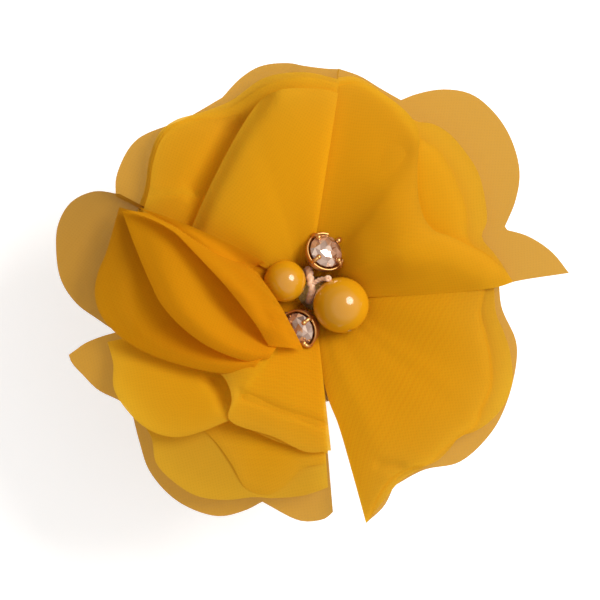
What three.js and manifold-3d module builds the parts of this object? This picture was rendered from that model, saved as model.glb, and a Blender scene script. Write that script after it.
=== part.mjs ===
// A flower hair clip: five folded chiffon petals and a bead cluster, sewn on a felt disc that is glued on a
// ribbon-lined alligator clip.
// Millimetres. +Z is the way the flower faces, and the clip lies along X with its tip towards -X.
// The origin is straight behind the flower's middle, on the outer face of the lower arm, which lies against
// the head.
import * as THREE from "three";
import { mergeVertices } from "three/addons/utils/BufferGeometryUtils.js";
import Module from "manifold-3d";

const wasm = await Module();
wasm.setup();

// ---------- driving dimensions ----------

// Height of the felt disc's back face. The flower is drawn from there, in a group of its own.
const FLOWER_Z = 6;
const FELT_RADIUS = 11;
const FELT_THICKNESS = 1.2;
const GLUE_THICKNESS = 0.5;
const RIBBON_THICKNESS = 0.35;
const RIBBON_WIDTH = 7.6;

// The clip: a flat upper arm, and a lower arm that swings on a pin near the back.
const SHEET = 0.6; // thickness of the steel strip
const ARM_WIDTH = 8;
const JAW_WIDTH = 6.4;
const TIP_X = -18;
const TAIL_X = 18;
const PIVOT = { x: 7, z: 2.4 };
const PIN_RADIUS = 0.7;
const EAR_RADIUS = 1.7;
const EAR_BASE = 2.6; // half an ear's length where it meets its strip
const JAW_BACK_X = 4; // the lower arm's floor slopes down from its tip to here, then runs flat under the pin
const JAW_SLOPE_DEG = 7;
const UPPER_BEND_X = 10.5; // behind here each arm bends away to make a finger tab
const UPPER_TAIL_DEG = 8;
const LOWER_BEND_X = 10;
const LOWER_TAIL_DEG = 24;
const TEETH = 8;
const OVERSIZE = 20; // reach of the blocks and rods that only cut or trim
const PIN_CLEARANCE = 0.08; // between the pin and the holes it turns in
const RUNNING_GAP = 0.1; // between other pieces that don't hold each other

const ARM_TOP = FLOWER_Z - GLUE_THICKNESS - RIBBON_THICKNESS;
const ARM_BOTTOM = ARM_TOP - SHEET;
const RIBBON_BOTTOM = ARM_BOTTOM - RIBBON_THICKNESS;
const TEETH_TOP = RIBBON_BOTTOM - RUNNING_GAP;

// The flower: each petal is a round disc folded into a quarter, its corner sewn near the middle.
const PETAL_ROOT = 2.9; // distance of the sewn corners from the flower's axis
const PETAL_BACK = FELT_THICKNESS; // the sewn part of each petal lies on the felt
const PETAL_RISE_START = 5; // the petals lie flat under the beads, then rise to their crest
const PETAL_RISE_END = 13;
const PETAL_FLAT_TOP = 3.2;
const PETAL_GAP = 0.5; // between the fold edges of neighbouring petals

// from, to: the petal's two fold edges, in degrees round the flower.
// crest, rim: height of the front layer and of its edge, above the felt's back.
// reach: how far the edge of the cloth lies from the axis, at even steps between the two folds.
const PETALS = [
  {
    name: "petal_top", from: 83.4, to: 153, crest: 11.5, rim: 8.5,
    reach: [22.6, 23.2, 21.7, 22.8, 23.7, 22.4],
  },
  {
    name: "petal_upper_right", from: 5.2, to: 83.4, crest: 11, rim: 7.5,
    reach: [25.5, 20.6, 23.6, 24.8, 21.4, 22.6],
  },
  {
    name: "petal_lower_right", from: -78, to: 5.2, crest: 11, rim: 7,
    reach: [23.5, 20.9, 22.5, 21.9, 20.4, 18.9],
  },
  {
    name: "petal_lower_left", from: -166, to: -86, crest: 10, rim: 7,
    reach: [25.5, 22.2, 23.9, 24.4, 21.7, 22],
  },
  {
    name: "petal_left", from: 153, to: 194, crest: 13, rim: 9,
    reach: [22.4, 26, 26.4, 24, 20.5],
  },
];

// The bead cluster in the middle of the flower.
const LARGE_PEARL = { radius: 2.8, at: [2.6, -1.2, 6.1] };
const SMALL_PEARL = { radius: 2.1, at: [-3, 1.2, 5.4] };
const PEARL_BORE = 0.5;
const STONE_RADIUS = 1.7;
const STONE_SIDES = 16;
const STONE_SEAT = 0.12; // how far the stone sits above the middle of its cup's rim
const CUP_WALL = 0.25;
const CUP_HEIGHT = 1.25;
// lean: which way the stone faces, as a direction
const UPPER_STONE = { at: [1.1, 4.4, 5.5], lean: [0.4, 0.35, 1] };
const LOWER_STONE = { at: [-1.4, -3.3, 4.9], lean: [-0.65, -0.3, 1] };
const THREAD_RADIUS = 0.22;
// The beads are strung on a thread that comes up through the felt, crosses the middle and goes down again.
const THREAD_PATH = [
  [-0.5, 1.5, FELT_THICKNESS], [-0.9, 1.9, 3], [-0.6, 2.3, 4.7], [-0.4, 1.3, 5.3],
  [-0.3, 0.3, 5.2], [-0.5, -0.5, 4.2], [-0.6, -0.8, FELT_THICKNESS],
];
// A finer end of it runs on to the hole of the large pearl and finishes in a knot.
const BRANCH_PATH = [[0, 1.1, 5.2], [0.6, 1.4, 5.7], [1.3, 1.5, 6.3]];
const BRANCH_RADIUS = 0.14;

// ---------- materials ----------

function material(color, roughness, metalness = 0) {
  return new THREE.MeshStandardMaterial({ color, roughness, metalness });
}

const STEEL = material(0xc9ccd0, 0.25, 1);
const SPRING_STEEL = material(0x9aa0a6, 0.35, 1);
const CHIFFON = material(0xdc990f, 0.8);
const FELT = material(0xe0a020, 0.95);
const RIBBON = material(0xdb9a14, 0.7);
const GLUE = material(0xe9e2cf, 0.4);
const PEARL = material(0xd9a441, 0.2);
const CRYSTAL = material(0xf3d9c4, 0.05);
const GOLD = material(0xc98f5a, 0.25, 1);
const THREAD = material(0xd7ab7e, 0.7);

// ---------- helpers ----------

const radians = THREE.MathUtils.degToRad;
const group = new THREE.Group();

function add(name, geometry, itsMaterial, parent = group) {
  const mesh = new THREE.Mesh(geometry, itsMaterial);
  mesh.name = name;
  parent.add(mesh);
  return mesh;
}

// A closed geometry as a manifold-3d solid, and back.
function solid(geometry) {
  const bare = geometry.clone();
  bare.deleteAttribute("normal");
  bare.deleteAttribute("uv");
  const merged = mergeVertices(bare, 1e-4);
  const triVerts = new Uint32Array(merged.index.array);
  const mesh = new wasm.Mesh({ numProp: 3, vertProperties: merged.attributes.position.array, triVerts });
  return new wasm.Manifold(mesh);
}

function geometryOf(manifold) {
  const { vertProperties, triVerts } = manifold.getMesh();
  const geometry = new THREE.BufferGeometry();
  geometry.setAttribute("position", new THREE.BufferAttribute(vertProperties, 3));
  geometry.setIndex(new THREE.BufferAttribute(triVerts, 1));
  return geometry;
}

const joined = (...geometries) => geometries.map(solid).reduce((all, next) => all.add(next));

const vectors2 = (pairs) => pairs.map(([a, b]) => new THREE.Vector2(a, b));

// A side view in X and Z, made `width` wide across Y and centred at `y`.
function acrossY(shape, width, y = 0) {
  const geometry = new THREE.ExtrudeGeometry(shape, { depth: width, bevelEnabled: false, curveSegments: 10 });
  return geometry.rotateX(Math.PI / 2).translate(0, y + width / 2, 0);
}

// A plan outline in X and Y, extruded from z0 to z1.
function upZ(shape, z0, z1) {
  const options = { depth: z1 - z0, bevelEnabled: false, curveSegments: 16 };
  return new THREE.ExtrudeGeometry(shape, options).translate(0, 0, z0);
}

// A profile of [radius, height] points, turned round +Z.
function turned(profile, sides) {
  return new THREE.LatheGeometry(vectors2(profile), sides).rotateX(Math.PI / 2);
}

// A round rod along Y through the hinge axis.
function rodAtPivot(radius, length, sides = 24) {
  return new THREE.CylinderGeometry(radius, radius, length, sides).translate(PIVOT.x, 0, PIVOT.z);
}

// Wire or thread: a round section swept along a smooth path.
function wire(points, radius, steps, sides = 6) {
  const path = new THREE.CatmullRomCurve3(points.map((p) => new THREE.Vector3(...p)));
  const section = new THREE.Shape().absarc(0, 0, radius, 0, 2 * Math.PI);
  return new THREE.ExtrudeGeometry(section, { extrudePath: path, steps, curveSegments: sides });
}

// ---------- the clip ----------

// Height of the top face of each arm's strip, back to front.
const slopeOf = (degrees) => Math.tan(radians(degrees));
const upperTabZ = (x) => ARM_TOP + Math.max(0, x - UPPER_BEND_X) * slopeOf(UPPER_TAIL_DEG);
const jawFloorZ = (x) => SHEET - x * slopeOf(JAW_SLOPE_DEG);
const PIVOT_FLOOR_Z = jawFloorZ(JAW_BACK_X);
const lowerTabZ = (x) => PIVOT_FLOOR_Z - Math.max(0, x - LOWER_BEND_X) * slopeOf(LOWER_TAIL_DEG);

// A strip of steel seen from the side, from the points of its top face.
function strip(top) {
  return new THREE.Shape(vectors2([...top, ...top.map(([x, z]) => [x, z - SHEET]).reverse()]));
}

// A plan outline with a round tip, straight sides, and a tab that flares a little.
function armOutline(width, tabWidth) {
  const half = width / 2;
  const tabHalf = tabWidth / 2;
  const cornerRadius = 1.5;
  const shape = new THREE.Shape();
  shape.moveTo(PIVOT.x + EAR_RADIUS, half);
  shape.lineTo(TIP_X + half, half);
  shape.absarc(TIP_X + half, 0, half, Math.PI / 2, 1.5 * Math.PI, false);
  shape.lineTo(PIVOT.x + EAR_RADIUS, -half);
  shape.lineTo(TAIL_X - cornerRadius - 2, -tabHalf);
  shape.lineTo(TAIL_X - cornerRadius, -tabHalf);
  shape.absarc(TAIL_X - cornerRadius, -tabHalf + cornerRadius, cornerRadius, -Math.PI / 2, 0, false);
  shape.lineTo(TAIL_X, tabHalf - cornerRadius);
  shape.absarc(TAIL_X - cornerRadius, tabHalf - cornerRadius, cornerRadius, 0, Math.PI / 2, false);
  shape.lineTo(TAIL_X - cornerRadius - 2, tabHalf);
  return shape;
}

// A pair of ears: rounded plates that hang from, or stand on, a strip and carry the pin.
function ear(baseZ, y) {
  const shape = new THREE.Shape();
  const down = baseZ > PIVOT.z;
  shape.moveTo(PIVOT.x + EAR_BASE, baseZ);
  shape.lineTo(PIVOT.x + EAR_RADIUS, PIVOT.z);
  shape.absarc(PIVOT.x, PIVOT.z, EAR_RADIUS, 0, down ? -Math.PI : Math.PI, down);
  shape.lineTo(PIVOT.x - EAR_BASE, baseZ);
  return acrossY(shape, SHEET, y);
}

function upperArm() {
  const side = strip([TIP_X, UPPER_BEND_X, TAIL_X].map((x) => [x, upperTabZ(x)]));
  const earY = ARM_WIDTH / 2 - SHEET / 2;
  const body = solid(acrossY(side, OVERSIZE))
    .intersect(solid(upZ(armOutline(ARM_WIDTH, ARM_WIDTH), -OVERSIZE, OVERSIZE)))
    .add(joined(ear(ARM_BOTTOM + SHEET / 2, earY), ear(ARM_BOTTOM + SHEET / 2, -earY)));
  return geometryOf(body.subtract(solid(rodAtPivot(PIN_RADIUS + PIN_CLEARANCE, OVERSIZE))));
}

// Sawtooth side rail of the lower jaw, from the tip back to the last tooth.
function toothedRail(y) {
  const start = TIP_X + 1.6;
  const pitch = 1.6;
  const depth = 0.8;
  const end = start + TEETH * pitch;
  const outline = [[start, jawFloorZ(start) - SHEET / 2]];
  for (let i = 0; i < TEETH; i++) {
    outline.push([start + i * pitch, TEETH_TOP - depth]);
    outline.push([start + (i + 0.5) * pitch, TEETH_TOP]);
  }
  outline.push([end, TEETH_TOP - depth]);
  outline.push([JAW_BACK_X, PIVOT_FLOOR_Z + 1]);
  outline.push([JAW_BACK_X, PIVOT_FLOOR_Z - SHEET / 2]);
  return acrossY(new THREE.Shape(vectors2(outline.reverse())), SHEET, y);
}

function lowerArm() {
  const tab = [JAW_BACK_X, LOWER_BEND_X, TAIL_X].map((x) => [x, lowerTabZ(x)]);
  const side = strip([[TIP_X, jawFloorZ(TIP_X)], ...tab]);
  const railY = JAW_WIDTH / 2 - SHEET / 2;
  const body = solid(acrossY(side, OVERSIZE))
    .intersect(solid(upZ(armOutline(JAW_WIDTH, ARM_WIDTH), -OVERSIZE, OVERSIZE)))
    .add(joined(toothedRail(railY), toothedRail(-railY)))
    .add(joined(ear(PIVOT_FLOOR_Z - SHEET / 2, railY), ear(PIVOT_FLOOR_Z - SHEET / 2, -railY)));
  return geometryOf(body.subtract(solid(rodAtPivot(PIN_RADIUS + PIN_CLEARANCE, OVERSIZE))));
}

// The pin: a plain rivet with a low head outside each ear.
function hingePin() {
  const headRadius = 1.15;
  const headStart = ARM_WIDTH / 2 + 0.05;
  const headEnd = headStart + 0.45;
  const half = [
    [PIN_RADIUS, headStart],
    [headRadius, headStart],
    [headRadius * 0.75, headEnd],
    [0, headEnd],
  ];
  const mirrored = half.map(([r, y]) => [r, -y]).reverse();
  return new THREE.LatheGeometry(vectors2([...mirrored, ...half]), 24).translate(PIVOT.x, 0, PIVOT.z);
}

// A torsion spring round the pin. One leg lies under the upper tab and the other on the lower tab.
function torsionSpring() {
  const wireRadius = 0.35;
  const coilRadius = 1.4;
  const turns = 3.5;
  const pitch = 0.85;
  const stepsPerTurn = 12;
  const fromTab = wireRadius + RUNNING_GAP;
  const legXs = [14, 12, 10];
  const halfWidth = (turns * pitch) / 2;
  const upperLeg = legXs.map((x) => [x, -halfWidth, upperTabZ(x) - SHEET - fromTab]);
  const lowerLeg = legXs.map((x) => [x, halfWidth, lowerTabZ(x) + fromTab]).reverse();
  const coil = [];
  const count = turns * stepsPerTurn;
  for (let i = 0; i <= count; i++) {
    const angle = Math.PI / 2 + (i / stepsPerTurn) * 2 * Math.PI;
    const y = THREE.MathUtils.lerp(-halfWidth, halfWidth, i / count);
    coil.push([PIVOT.x + coilRadius * Math.cos(angle), y, PIVOT.z + coilRadius * Math.sin(angle)]);
  }
  return wire([...upperLeg, ...coil, ...lowerLeg], wireRadius, 110, 4);
}

// Grosgrain ribbon: along the top of the upper arm, round its tip, and back under the jaw.
function ribbonLining() {
  const underEndX = 3;
  const insideX = TIP_X - RUNNING_GAP;
  const outsideX = insideX - RIBBON_THICKNESS;
  const topZ = ARM_TOP + RIBBON_THICKNESS;
  const shape = new THREE.Shape();
  shape.moveTo(TAIL_X, upperTabZ(TAIL_X));
  shape.lineTo(UPPER_BEND_X, ARM_TOP);
  shape.lineTo(insideX, ARM_TOP);
  shape.lineTo(insideX, ARM_BOTTOM);
  shape.lineTo(underEndX, ARM_BOTTOM);
  shape.lineTo(underEndX, RIBBON_BOTTOM);
  shape.lineTo(insideX, RIBBON_BOTTOM);
  shape.quadraticCurveTo(outsideX, RIBBON_BOTTOM, outsideX, ARM_BOTTOM);
  shape.lineTo(outsideX, ARM_TOP);
  shape.quadraticCurveTo(outsideX, topZ, insideX, topZ);
  shape.lineTo(UPPER_BEND_X, topZ);
  shape.lineTo(TAIL_X, upperTabZ(TAIL_X) + RIBBON_THICKNESS);
  return acrossY(shape, RIBBON_WIDTH);
}

function gluePad() {
  const halfLength = 9.5;
  const halfWidth = 3.6;
  const shape = new THREE.Shape().absellipse(0, 0, halfLength, halfWidth, 0, 2 * Math.PI);
  return upZ(shape, FLOWER_Z - GLUE_THICKNESS, FLOWER_Z);
}

add("upper_arm", upperArm(), STEEL);
add("lower_arm", lowerArm(), STEEL);
add("hinge_pin", hingePin(), STEEL);
add("torsion_spring", torsionSpring(), SPRING_STEEL);
add("ribbon_lining", ribbonLining(), RIBBON);
add("glue_pad", gluePad(), GLUE);

// ---------- the flower ----------

const flower = new THREE.Group();
flower.position.z = FLOWER_Z;
group.add(flower);

function feltBacking() {
  const edge = 0.3;
  const profile = [
    [0, 0],
    [FELT_RADIUS - edge, 0],
    [FELT_RADIUS, edge],
    [FELT_RADIUS, FELT_THICKNESS - edge],
    [FELT_RADIUS - edge, FELT_THICKNESS],
    [0, FELT_THICKNESS],
  ];
  return turned(profile, 40);
}

// A folded petal as one puffed wedge: a box bent round the flower's axis, with a domed front.
function petal({ from, to, reach, crest, rim }) {
  const box = new THREE.BoxGeometry(1, 1, 1, 12, 12, 2);
  const edgeCurve = new THREE.SplineCurve(reach.map((r, i) => new THREE.Vector2(i / (reach.length - 1), r)));
  const rimThickness = 3;
  const position = box.attributes.position;
  for (let i = 0; i < position.count; i++) {
    const along = position.getX(i) + 0.5; // 0 at the sewn corner, 1 at the edge of the cloth
    const across = position.getY(i) + 0.5; // 0 and 1 at the two fold edges
    const up = position.getZ(i) + 0.5; // 0 on the back, 1 on the front
    const radius = THREE.MathUtils.lerp(PETAL_ROOT, edgeCurve.getPoint(across).y, along);
    // The gap to the neighbours is a fixed width, so it takes a smaller angle further out.
    const inset = Math.asin(PETAL_GAP / 2 / radius);
    const angle = THREE.MathUtils.lerp(radians(from) + inset, radians(to) - inset, across);
    const rise = THREE.MathUtils.smoothstep(radius, PETAL_RISE_START, PETAL_RISE_END);
    const fall = THREE.MathUtils.smoothstep(along, 0.6, 1);
    const roundness = 0.7 + 0.3 * Math.sin(Math.PI * across);
    const top = PETAL_FLAT_TOP + (crest - PETAL_FLAT_TOP) * rise * roundness - (crest - rim) * fall;
    const back = THREE.MathUtils.lerp(PETAL_BACK, rim - rimThickness, fall);
    const z = THREE.MathUtils.lerp(back, top, up);
    position.setXYZ(i, radius * Math.cos(angle), radius * Math.sin(angle), z);
  }
  return geometryOf(solid(box));
}

// The running thread that gathers the five sewn corners into a ring.
function gatheringThread() {
  const ringRadius = 2.2;
  const height = FELT_THICKNESS + THREAD_RADIUS;
  return new THREE.TorusGeometry(ringRadius, THREAD_RADIUS, 6, 30).translate(0, 0, height);
}

add("felt_backing", feltBacking(), FELT, flower);
for (const shape of PETALS) add(shape.name, petal(shape), CHIFFON, flower);
add("gathering_thread", gatheringThread(), THREAD, flower);

// ---------- the beads ----------

// A pearl is a sphere with a bore for the thread. The bore is turned by the group that holds the pearl.
function pearl({ radius }) {
  const bore = Math.asin(PEARL_BORE / radius);
  const steps = 14;
  const profile = [];
  for (let i = 0; i <= steps; i++) {
    const angle = THREE.MathUtils.lerp(-Math.PI / 2 + bore, Math.PI / 2 - bore, i / steps);
    profile.push(new THREE.Vector2(radius * Math.cos(angle), radius * Math.sin(angle)));
  }
  profile.push(profile[0].clone());
  return new THREE.LatheGeometry(profile, 24);
}

function pearlAt(name, shape, boreDirection) {
  const mesh = add(name, pearl(shape), PEARL, flower);
  mesh.position.set(...shape.at);
  const direction = new THREE.Vector3(...boreDirection).normalize();
  mesh.quaternion.setFromUnitVectors(new THREE.Vector3(0, 1, 0), direction);
}

// A cut stone: flat table, bevelled crown and pointed back.
function stone() {
  const tableRadius = STONE_RADIUS * 0.6;
  return turned([[0, -1], [STONE_RADIUS, 0], [STONE_RADIUS, 0.2], [tableRadius, 0.8], [0, 0.8]], STONE_SIDES);
}

// A sew-on cup: a thin dish with a thread hole through its floor, and four claws folded over the stone.
function setting() {
  const inner = STONE_RADIUS + RUNNING_GAP;
  const outer = inner + CUP_WALL;
  const floorRadius = 0.8;
  const holeRadius = 0.25;
  const rimZ = 0.1;
  const baseZ = rimZ - CUP_HEIGHT;
  const wall = [
    [holeRadius, baseZ],
    [floorRadius + CUP_WALL, baseZ],
    [outer, rimZ],
    [inner, rimZ],
    [floorRadius, baseZ + CUP_WALL],
    [holeRadius, baseZ + CUP_WALL],
    [holeRadius, baseZ],
  ];
  const claw = new THREE.Shape();
  claw.moveTo(outer - 0.05, rimZ - 0.4);
  claw.lineTo(outer + 0.1, 0.45);
  claw.quadraticCurveTo(outer, 0.9, outer - 0.6, 0.95);
  claw.lineTo(outer - 0.65, 0.75);
  claw.quadraticCurveTo(outer - 0.2, 0.65, outer - 0.2, rimZ - 0.4);
  const clawWidth = 0.56;
  let cup = solid(turned(wall, 24));
  for (let i = 0; i < 4; i++) {
    const piece = acrossY(claw, clawWidth).rotateZ((i * Math.PI) / 2 + Math.PI / 4);
    cup = cup.add(solid(piece));
  }
  return geometryOf(cup);
}

function stoneInSetting(prefix, { at, lean }) {
  const seat = new THREE.Group();
  seat.position.set(...at);
  seat.quaternion.setFromUnitVectors(new THREE.Vector3(0, 0, 1), new THREE.Vector3(...lean).normalize());
  add(`${prefix}_crystal`, stone(), CRYSTAL, seat).position.z = STONE_SEAT;
  add(`${prefix}_setting`, setting(), GOLD, seat);
  flower.add(seat);
}

pearlAt("large_pearl", LARGE_PEARL, [0.35, -1, 0.15]);
pearlAt("small_pearl", SMALL_PEARL, [1, -0.4, 0.1]);
stoneInSetting("upper_rhinestone", UPPER_STONE);
stoneInSetting("lower_rhinestone", LOWER_STONE);
add("bead_thread", wire(THREAD_PATH, THREAD_RADIUS, 40), THREAD, flower);
add("bead_thread_end", wire(BRANCH_PATH, BRANCH_RADIUS, 12), THREAD, flower);

export default group;
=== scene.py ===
"""Looks of the flower hair clip: folded chiffon petals, pearls and rhinestones on a felt disc and a clip.

Lengths are in millimetres and become metres as each mesh is made. Pieces of the flower are drawn from the
middle of the felt disc's back face, and pieces of the clip from the frame's own origin.
"""

import math

import bmesh
import bpy
import numpy as np
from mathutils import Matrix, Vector, noise


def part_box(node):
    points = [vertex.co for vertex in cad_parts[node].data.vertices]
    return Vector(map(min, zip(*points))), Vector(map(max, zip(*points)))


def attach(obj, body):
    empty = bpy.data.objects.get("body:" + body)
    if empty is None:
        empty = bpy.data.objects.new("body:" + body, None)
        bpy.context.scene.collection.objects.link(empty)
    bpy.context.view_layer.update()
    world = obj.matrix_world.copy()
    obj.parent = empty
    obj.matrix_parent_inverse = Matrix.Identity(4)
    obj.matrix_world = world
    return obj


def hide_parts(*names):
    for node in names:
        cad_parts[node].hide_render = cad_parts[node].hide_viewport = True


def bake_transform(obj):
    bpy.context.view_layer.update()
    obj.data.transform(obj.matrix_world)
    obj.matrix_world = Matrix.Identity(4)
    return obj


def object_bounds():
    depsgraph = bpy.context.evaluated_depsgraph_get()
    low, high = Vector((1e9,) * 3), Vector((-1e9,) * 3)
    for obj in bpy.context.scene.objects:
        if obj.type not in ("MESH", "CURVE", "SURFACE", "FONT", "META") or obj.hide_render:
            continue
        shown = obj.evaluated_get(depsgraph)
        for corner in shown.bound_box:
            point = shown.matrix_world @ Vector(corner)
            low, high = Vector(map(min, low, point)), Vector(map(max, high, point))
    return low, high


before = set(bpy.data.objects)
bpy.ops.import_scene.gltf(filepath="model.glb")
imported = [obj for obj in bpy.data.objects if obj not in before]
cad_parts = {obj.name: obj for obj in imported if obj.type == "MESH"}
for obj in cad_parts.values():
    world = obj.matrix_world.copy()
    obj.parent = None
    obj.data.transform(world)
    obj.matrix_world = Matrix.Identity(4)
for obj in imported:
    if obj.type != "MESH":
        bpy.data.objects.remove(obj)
cad_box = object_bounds()

MM = 0.001
FLOWER_BODY = "clip_and_flower"


# ---------- places from the frame ----------

def box_mm(node):
    low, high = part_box(node)
    return low / MM, high / MM


def centre_mm(node):
    low, high = box_mm(node)
    return (low + high) / 2


def flower_origin():
    low, high = box_mm("felt_backing")
    middle = (low + high) / 2
    return Vector((middle.x, middle.y, low.z))


FRAME_ORIGIN = Vector((0, 0, 0))
FLOWER = flower_origin()


# ---------- mesh helpers ----------

STEPS_PER_SPAN = 12
ANY_WAY_ACROSS = Vector((0.3, 0.2, 1))
YARN_WAIST = 0.72


def piece(name, vertices, faces, material, origin=FLOWER, smooth=True, uvs=None, body=FLOWER_BODY,
          **values):
    """A mesh in place, from points in millimetres measured from `origin`, riding on a body if one is given.

    `values` are numbers that the material reads, one for each point.
    """
    mesh = bpy.data.meshes.new(name)
    points = [((Vector(v) + origin) * MM)[:] for v in vertices]
    mesh.from_pydata(points, [], faces)
    if uvs is not None:
        layer = mesh.uv_layers.new(name="UVMap")
        for loop in mesh.loops:
            layer.data[loop.index].uv = uvs[loop.vertex_index]
    for key, numbers in values.items():
        mesh.attributes.new(key, "FLOAT", "POINT").data.foreach_set("value", numbers)
    mesh.polygons.foreach_set("use_smooth", [smooth] * len(mesh.polygons))
    mesh.materials.append(material)
    mesh.update()
    made = bpy.data.objects.new(name, mesh)
    bpy.context.scene.collection.objects.link(made)
    if body:
        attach(made, body)
    return made


def stands_for(made, node):
    """The piece takes the place of a CAD part, which it hides."""
    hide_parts(node)
    return made


def grid_faces(rows, columns, first=0, closed=False):
    """Quads of a grid of points, row after row. A closed grid joins its last column to its first."""
    faces = []
    for r in range(rows - 1):
        for c in range(columns if closed else columns - 1):
            a = first + r * columns + c
            b = first + r * columns + (c + 1) % columns
            faces.append((a, b, b + columns, a + columns))
    return faces


def smooth_path(points, count):
    """`count` points at even steps on a smooth curve through `points`. A point given twice is a corner."""
    runs = [[Vector(points[0])]]
    for p in points[1:]:
        if (Vector(p) - runs[-1][-1]).length < 1e-6:
            runs.append([Vector(p)])
        else:
            runs[-1].append(Vector(p))
    dense = []
    for run in runs:
        if len(run) < 2:
            continue
        ends = [2 * run[0] - run[1]] + run + [2 * run[-1] - run[-2]]
        for i in range(1, len(ends) - 2):
            for step in range(STEPS_PER_SPAN):
                dense.append(catmull(*ends[i - 1:i + 3], step / STEPS_PER_SPAN))
    dense.append(runs[-1][-1])
    return even_steps(dense, count)


def catmull(a, b, c, d, t):
    """Centripetal Catmull-Rom between b and c."""
    t1 = max((b - a).length, 1e-6) ** 0.5
    t2 = t1 + max((c - b).length, 1e-6) ** 0.5
    t3 = t2 + max((d - c).length, 1e-6) ** 0.5
    at = t1 + (t2 - t1) * t
    ab = a.lerp(b, at / t1)
    bc = b.lerp(c, (at - t1) / (t2 - t1))
    cd = c.lerp(d, (at - t2) / (t3 - t2))
    abc = ab.lerp(bc, at / t2)
    bcd = bc.lerp(cd, (at - t1) / (t3 - t1))
    return abc.lerp(bcd, (at - t1) / (t2 - t1))


def even_steps(dense, count):
    """`count` points at even distances along a path of many points."""
    lengths = [0.0]
    for a, b in zip(dense, dense[1:]):
        lengths.append(lengths[-1] + (b - a).length)
    columns = np.array([list(p) for p in dense])
    wanted = np.linspace(0, lengths[-1], count)
    return np.stack([np.interp(wanted, lengths, columns[:, k]) for k in range(columns.shape[1])], axis=1)


def tube_mesh(path, radius, sides=12, ply_twist=0.0):
    """Vertices and faces of a round tube with closed ends. With a twist it is a yarn of two plies."""
    path = [Vector(p) for p in path]
    vertices = []
    across = ANY_WAY_ACROSS.cross(path[1] - path[0]).normalized()
    travelled = 0.0
    for i, p in enumerate(path):
        before = path[max(i - 1, 0)]
        after = path[min(i + 1, len(path) - 1)]
        along = (after - before).normalized()
        across = (across - along * across.dot(along)).normalized()
        up = along.cross(across)
        travelled += (p - before).length
        for k in range(sides):
            angle = 2 * math.pi * k / sides
            wide = radius
            if ply_twist:
                wide *= YARN_WAIST + (1 - YARN_WAIST) * abs(math.cos(angle - travelled * ply_twist))
            vertices.append(p + wide * (math.cos(angle) * across + math.sin(angle) * up))
    faces = grid_faces(len(path), sides, closed=True)
    last = len(vertices) - sides
    faces.append(tuple(reversed(range(sides))))
    faces.append(tuple(range(last, last + sides)))
    return vertices, faces


def frame_towards(direction):
    """Two directions at right angles to `direction` and to each other, and the direction itself."""
    z = Vector(direction).normalized()
    x = Vector((1, 0, 0)) if abs(z.x) < 0.8 else Vector((0, 1, 0))
    x = (x - z * x.dot(z)).normalized()
    return x, z.cross(x), z


def turned_mesh(profile, sides, centre, direction):
    """A profile of (radius, height) points turned round `direction` through `centre`."""
    x, y, z = frame_towards(direction)
    centre = Vector(centre)
    vertices = []
    for radius, height in profile:
        for k in range(sides):
            angle = 2 * math.pi * k / sides
            vertices.append(centre + radius * (math.cos(angle) * x + math.sin(angle) * y) + height * z)
    return vertices, grid_faces(len(profile), sides, closed=True)


def merge(parts):
    """Several (vertices, faces) as one."""
    vertices = []
    faces = []
    for its_vertices, its_faces in parts:
        first = len(vertices)
        vertices += its_vertices
        faces += [tuple(first + i for i in face) for face in its_faces]
    return vertices, faces


# ---------- node helpers ----------

class Nodes:
    """A material's node tree, with short calls to add nodes and join them."""

    def __init__(self, name):
        self.material = bpy.data.materials.new(name)
        self.material.use_nodes = True
        self.tree = self.material.node_tree
        self.tree.nodes.clear()
        self.output = self.tree.nodes.new("ShaderNodeOutputMaterial")

    def add(self, kind, settings=None, **inputs):
        node = self.tree.nodes.new(kind)
        for key, value in (settings or {}).items():
            setattr(node, key, value)
        for key, value in inputs.items():
            self.put(node.inputs[key.replace("_", " ")], value)
        return node

    def put(self, socket, value):
        if isinstance(value, bpy.types.NodeSocket):
            self.tree.links.new(value, socket)
        elif isinstance(value, bpy.types.Node):
            self.tree.links.new(value.outputs[0], socket)
        else:
            socket.default_value = value

    def math(self, operation, a, b=0.0, clamp=False):
        node = self.tree.nodes.new("ShaderNodeMath")
        node.operation = operation
        node.use_clamp = clamp
        self.put(node.inputs[0], a)
        self.put(node.inputs[1], b)
        return node.outputs[0]

    def mix_colour(self, factor, a, b, blend="MIX"):
        node = self.tree.nodes.new("ShaderNodeMix")
        node.data_type = "RGBA"
        node.blend_type = blend
        self.put(node.inputs[0], factor)
        self.put(node.inputs[6], a)
        self.put(node.inputs[7], b)
        return node.outputs[2]

    def mix_shader(self, factor, a, b):
        node = self.tree.nodes.new("ShaderNodeMixShader")
        self.put(node.inputs[0], factor)
        self.put(node.inputs[1], a)
        self.put(node.inputs[2], b)
        return node

    def bump(self, height, strength, distance):
        return self.add("ShaderNodeBump", Height=height, Strength=strength, Distance=distance).outputs[0]

    def done(self, surface):
        self.tree.links.new(surface.outputs[0], self.output.inputs["Surface"])
        return self.material


def stripes(nodes, coordinate, period):
    """0 to 1 and back across each period of a coordinate."""
    turns = nodes.math("MULTIPLY", coordinate, 2 * math.pi / period)
    return nodes.math("ADD", nodes.math("MULTIPLY", nodes.math("SINE", turns), 0.5), 0.5)


def uv_parts(nodes):
    """The UVs as a vector, and their two numbers."""
    place = nodes.add("ShaderNodeUVMap", {"uv_map": "UVMap"})
    parts = nodes.add("ShaderNodeSeparateXYZ", Vector=place.outputs[0])
    return place.outputs[0], parts.outputs[0], parts.outputs[1]


# ---------- materials ----------

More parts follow.
